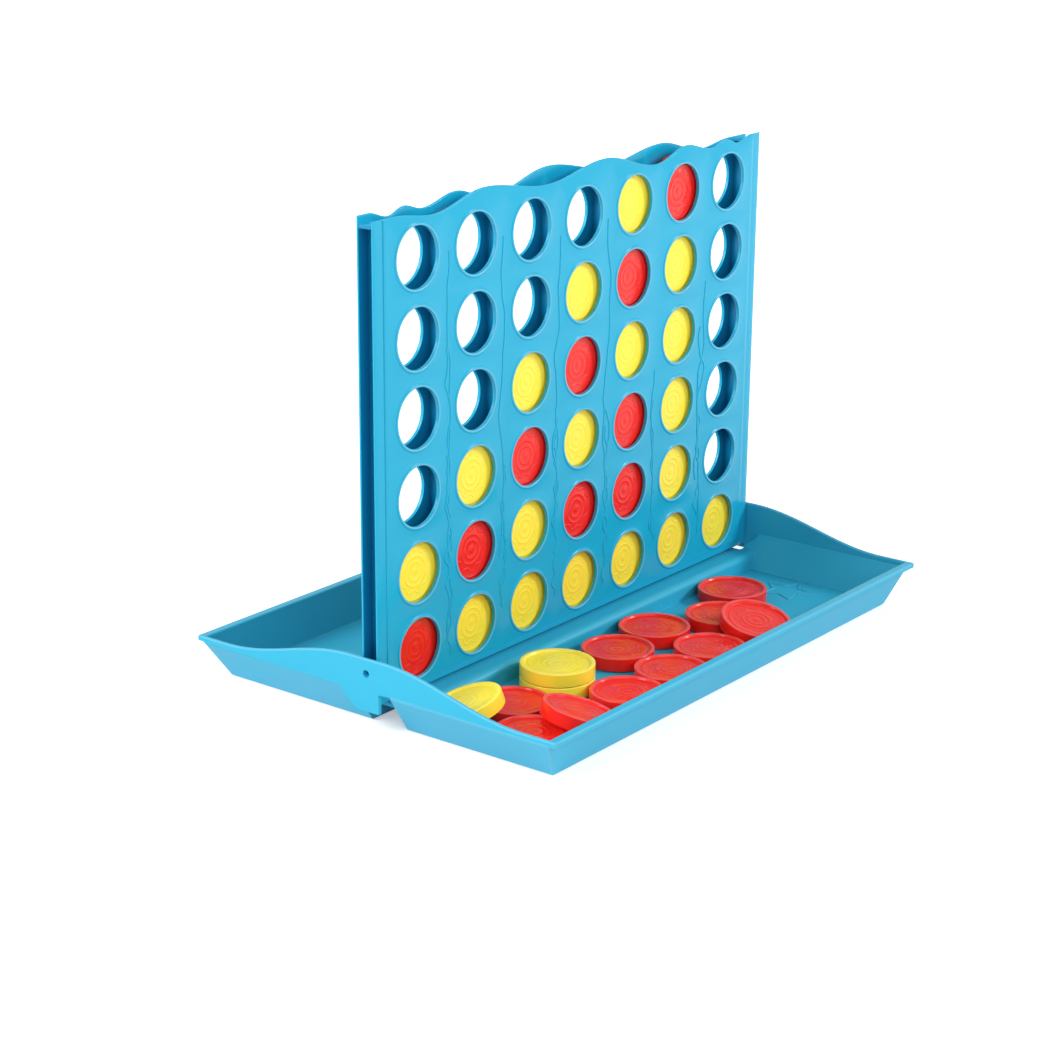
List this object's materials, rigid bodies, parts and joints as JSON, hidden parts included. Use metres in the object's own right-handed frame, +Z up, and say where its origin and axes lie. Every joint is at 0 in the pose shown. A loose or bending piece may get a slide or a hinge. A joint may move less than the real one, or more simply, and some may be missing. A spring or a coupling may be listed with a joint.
{
  "type": "table-top four in a row game",
  "caption": "Upright plastic grid with round viewing holes that folds on a base with a tray on each side, holding red and yellow discs that drop in from the top to line up a row.",
  "frame": {"origin": "centre of the base's footprint on the table, under the fold axis", "axes": "+X along the grid to the right seen from the front, +Y to the rear across the trays, +Z up"},
  "size_m": [0.2682, 0.1844, 0.2063],
  "materials": {
    "blue_plastic": "moulded, satin gloss",
    "red_plastic": "moulded, satin gloss",
    "yellow_plastic": "moulded, satin gloss"
  },
  "bodies": {
    "base": {"base_tray": "blue_plastic"},
    "grid": {"front_panel": "blue_plastic", "rear_panel": "blue_plastic", "column_bars": "blue_plastic", "bottom_rail": "blue_plastic", "left_end_post": "blue_plastic", "right_end_post": "blue_plastic", "assembly_pegs": "blue_plastic", "left_pivot_pin": "blue_plastic", "right_pivot_pin": "blue_plastic"},
    "red_disc_01": {"red_disc_01": "red_plastic"},
    "yellow_disc_01": {"yellow_disc_01": "yellow_plastic"},
    "yellow_disc_02": {"yellow_disc_02": "yellow_plastic"},
    "red_disc_02": {"red_disc_02": "red_plastic"},
    "yellow_disc_03": {"yellow_disc_03": "yellow_plastic"},
    "yellow_disc_04": {"yellow_disc_04": "yellow_plastic"},
    "yellow_disc_05": {"yellow_disc_05": "yellow_plastic"},
    "red_disc_03": {"red_disc_03": "red_plastic"},
    "yellow_disc_06": {"yellow_disc_06": "yellow_plastic"},
    "yellow_disc_07": {"yellow_disc_07": "yellow_plastic"},
    "red_disc_04": {"red_disc_04": "red_plastic"},
    "yellow_disc_08": {"yellow_disc_08": "yellow_plastic"},
    "red_disc_05": {"red_disc_05": "red_plastic"},
    "yellow_disc_09": {"yellow_disc_09": "yellow_plastic"},
    "yellow_disc_10": {"yellow_disc_10": "yellow_plastic"},
    "red_disc_06": {"red_disc_06": "red_plastic"},
    "red_disc_07": {"red_disc_07": "red_plastic"},
    "yellow_disc_11": {"yellow_disc_11": "yellow_plastic"},
    "red_disc_08": {"red_disc_08": "red_plastic"},
    "yellow_disc_12": {"yellow_disc_12": "yellow_plastic"},
    "yellow_disc_13": {"yellow_disc_13": "yellow_plastic"},
    "yellow_disc_14": {"yellow_disc_14": "yellow_plastic"},
    "yellow_disc_15": {"yellow_disc_15": "yellow_plastic"},
    "yellow_disc_16": {"yellow_disc_16": "yellow_plastic"},
    "yellow_disc_17": {"yellow_disc_17": "yellow_plastic"},
    "red_disc_09": {"red_disc_09": "red_plastic"},
    "yellow_disc_18": {"yellow_disc_18": "yellow_plastic"},
    "red_disc_10": {"red_disc_10": "red_plastic"},
    "red_disc_11": {"red_disc_11": "red_plastic"},
    "red_disc_12": {"red_disc_12": "red_plastic"},
    "red_disc_13": {"red_disc_13": "red_plastic"},
    "red_disc_14": {"red_disc_14": "red_plastic"},
    "red_disc_15": {"red_disc_15": "red_plastic"},
    "red_disc_16": {"red_disc_16": "red_plastic"},
    "red_disc_17": {"red_disc_17": "red_plastic"},
    "red_disc_18": {"red_disc_18": "red_plastic"},
    "red_disc_19": {"red_disc_19": "red_plastic"},
    "red_disc_20": {"red_disc_20": "red_plastic"},
    "red_disc_21": {"red_disc_21": "red_plastic"},
    "yellow_disc_19": {"yellow_disc_19": "yellow_plastic"},
    "yellow_disc_20": {"yellow_disc_20": "yellow_plastic"},
    "yellow_disc_21": {"yellow_disc_21": "yellow_plastic"}
  },
  "joints": [
    {"name": "grid_fold", "type": "hinge", "parent": "base", "child": "grid", "pos_m": [0, 0, 0.024], "axis": [-1, 0, 0], "range_deg": [-90, 90]},
    {"name": "red_disc_01_lift", "type": "slide", "parent": "grid", "child": "red_disc_01", "axis": [0, 0, 1], "range_m": [0, 0.198]},
    {"name": "yellow_disc_01_lift", "type": "slide", "parent": "red_disc_01", "child": "yellow_disc_01", "axis": [0, 0, 1], "range_m": [0, 0.166]},
    {"name": "yellow_disc_02_lift", "type": "slide", "parent": "grid", "child": "yellow_disc_02", "axis": [0, 0, 1], "range_m": [0, 0.198]},
    {"name": "red_disc_02_lift", "type": "slide", "parent": "yellow_disc_02", "child": "red_disc_02", "axis": [0, 0, 1], "range_m": [0, 0.166]},
    {"name": "yellow_disc_03_lift", "type": "slide", "parent": "red_disc_02", "child": "yellow_disc_03", "axis": [0, 0, 1], "range_m": [0, 0.135]},
    {"name": "yellow_disc_04_lift", "type": "slide", "parent": "grid", "child": "yellow_disc_04", "axis": [0, 0, 1], "range_m": [0, 0.198]},
    {"name": "yellow_disc_05_lift", "type": "slide", "parent": "yellow_disc_04", "child": "yellow_disc_05", "axis": [0, 0, 1], "range_m": [0, 0.166]},
    {"name": "red_disc_03_lift", "type": "slide", "parent": "yellow_disc_05", "child": "red_disc_03", "axis": [0, 0, 1], "range_m": [0, 0.135]},
    {"name": "yellow_disc_06_lift", "type": "slide", "parent": "red_disc_03", "child": "yellow_disc_06", "axis": [0, 0, 1], "range_m": [0, 0.104]},
    {"name": "yellow_disc_07_lift", "type": "slide", "parent": "grid", "child": "yellow_disc_07", "axis": [0, 0, 1], "range_m": [0, 0.198]},
    {"name": "red_disc_04_lift", "type": "slide", "parent": "yellow_disc_07", "child": "red_disc_04", "axis": [0, 0, 1], "range_m": [0, 0.166]},
    {"name": "yellow_disc_08_lift", "type": "slide", "parent": "red_disc_04", "child": "yellow_disc_08", "axis": [0, 0, 1], "range_m": [0, 0.135]},
    {"name": "red_disc_05_lift", "type": "slide", "parent": "yellow_disc_08", "child": "red_disc_05", "axis": [0, 0, 1], "range_m": [0, 0.104]},
    {"name": "yellow_disc_09_lift", "type": "slide", "parent": "red_disc_05", "child": "yellow_disc_09", "axis": [0, 0, 1], "range_m": [0, 0.073]},
    {"name": "yellow_disc_10_lift", "type": "slide", "parent": "grid", "child": "yellow_disc_10", "axis": [0, 0, 1], "range_m": [0, 0.198]},
    {"name": "red_disc_06_lift", "type": "slide", "parent": "yellow_disc_10", "child": "red_disc_06", "axis": [0, 0, 1], "range_m": [0, 0.166]},
    {"name": "red_disc_07_lift", "type": "slide", "parent": "red_disc_06", "child": "red_disc_07", "axis": [0, 0, 1], "range_m": [0, 0.135]},
    {"name": "yellow_disc_11_lift", "type": "slide", "parent": "red_disc_07", "child": "yellow_disc_11", "axis": [0, 0, 1], "range_m": [0, 0.104]},
    {"name": "red_disc_08_lift", "type": "slide", "parent": "yellow_disc_11", "child": "red_disc_08", "axis": [0, 0, 1], "range_m": [0, 0.073]},
    {"name": "yellow_disc_12_lift", "type": "slide", "parent": "red_disc_08", "child": "yellow_disc_12", "axis": [0, 0, 1], "range_m": [0, 0.041]},
    {"name": "yellow_disc_13_lift", "type": "slide", "parent": "grid", "child": "yellow_disc_13", "axis": [0, 0, 1], "range_m": [0, 0.198]},
    {"name": "yellow_disc_14_lift", "type": "slide", "parent": "yellow_disc_13", "child": "yellow_disc_14", "axis": [0, 0, 1], "range_m": [0, 0.166]},
    {"name": "yellow_disc_15_lift", "type": "slide", "parent": "yellow_disc_14", "child": "yellow_disc_15", "axis": [0, 0, 1], "range_m": [0, 0.135]},
    {"name": "yellow_disc_16_lift", "type": "slide", "parent": "yellow_disc_15", "child": "yellow_disc_16", "axis": [0, 0, 1], "range_m": [0, 0.104]},
    {"name": "yellow_disc_17_lift", "type": "slide", "parent": "yellow_disc_16", "child": "yellow_disc_17", "axis": [0, 0, 1], "range_m": [0, 0.073]},
    {"name": "red_disc_09_lift", "type": "slide", "parent": "yellow_disc_17", "child": "red_disc_09", "axis": [0, 0, 1], "range_m": [0, 0.041]},
    {"name": "yellow_disc_18_lift", "type": "slide", "parent": "grid", "child": "yellow_disc_18", "axis": [0, 0, 1], "range_m": [0, 0.198]},
    {"name": "red_disc_10_lift", "type": "slide", "parent": "base", "child": "red_disc_10", "axis": [0, 0, 1], "range_m": [0, 0.1]},
    {"name": "red_disc_11_lift", "type": "slide", "parent": "base", "child": "red_disc_11", "axis": [0, 0, 1], "range_m": [0, 0.1]},
    {"name": "red_disc_13_lift", "type": "slide", "parent": "base", "child": "red_disc_13", "axis": [0, 0, 1], "range_m": [0, 0.1]},
    {"name": "red_disc_14_lift", "type": "slide", "parent": "base", "child": "red_disc_14", "axis": [0, 0, 1], "range_m": [0, 0.1]},
    {"name": "red_disc_15_lift", "type": "slide", "parent": "base", "child": "red_disc_15", "axis": [0, 0, 1], "range_m": [0, 0.1]},
    {"name": "red_disc_16_lift", "type": "slide", "parent": "base", "child": "red_disc_16", "axis": [0, 0, 1], "range_m": [0, 0.1]},
    {"name": "red_disc_17_lift", "type": "slide", "parent": "base", "child": "red_disc_17", "axis": [0, 0, 1], "range_m": [0, 0.1]},
    {"name": "red_disc_19_lift", "type": "slide", "parent": "base", "child": "red_disc_19", "axis": [0, 0, 1], "range_m": [0, 0.1]},
    {"name": "red_disc_20_lift", "type": "slide", "parent": "base", "child": "red_disc_20", "axis": [0, 0, 1], "range_m": [0, 0.1]},
    {"name": "red_disc_21_lift", "type": "slide", "parent": "base", "child": "red_disc_21", "axis": [0, 0, 1], "range_m": [0, 0.1]},
    {"name": "yellow_disc_19_lift", "type": "slide", "parent": "base", "child": "yellow_disc_19", "axis": [0, 0, 1], "range_m": [0, 0.1]},
    {"name": "red_disc_12_lift", "type": "slide", "parent": "red_disc_11", "child": "red_disc_12", "axis": [0, 0, 1], "range_m": [0, 0.1]},
    {"name": "red_disc_18_lift", "type": "slide", "parent": "red_disc_20", "child": "red_disc_18", "axis": [0, 0, 1], "range_m": [0, 0.1]},
    {"name": "yellow_disc_20_lift", "type": "slide", "parent": "yellow_disc_19", "child": "yellow_disc_20", "axis": [0, 0, 1], "range_m": [0, 0.1]},
    {"name": "yellow_disc_21_lift", "type": "slide", "parent": "red_disc_19", "child": "yellow_disc_21", "axis": [0, 0, 1], "range_m": [0, 0.1]}
  ]
}
